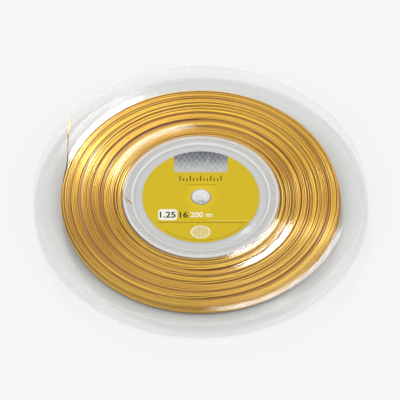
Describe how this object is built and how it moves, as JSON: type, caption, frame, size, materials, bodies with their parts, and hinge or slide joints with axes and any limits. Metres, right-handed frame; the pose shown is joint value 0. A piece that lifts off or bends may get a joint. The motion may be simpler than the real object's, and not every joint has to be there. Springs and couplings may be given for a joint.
{
  "type": "string reel",
  "caption": "Flat clear reel wound with amber racket string: dished flanges with flared rims, a toothed hub drum, a spindle bore and a round paper label.",
  "frame": {"origin": "on the floor under the centre of the spindle bore, with the reel lying on its rear flange", "axes": "+Z along the spindle bore towards the labelled front, +Y up the label, +X to the label's right"},
  "size_m": [0.27, 0.27, 0.0181],
  "materials": {
    "clear_plastic": "clear polished polystyrene",
    "hub_plastic": "translucent moulded polystyrene",
    "label_paper": "satin printed paper",
    "foil": "embossed silver foil",
    "string": "smooth amber monofilament"
  },
  "bodies": {
    "root": {"front_flange": "clear_plastic", "rear_flange": "clear_plastic", "hub_drum": "hub_plastic", "front_label": "label_paper", "foil_patch": "foil", "string_bulk": "string", "string_winding": "string"}
  },
  "joints": []
}
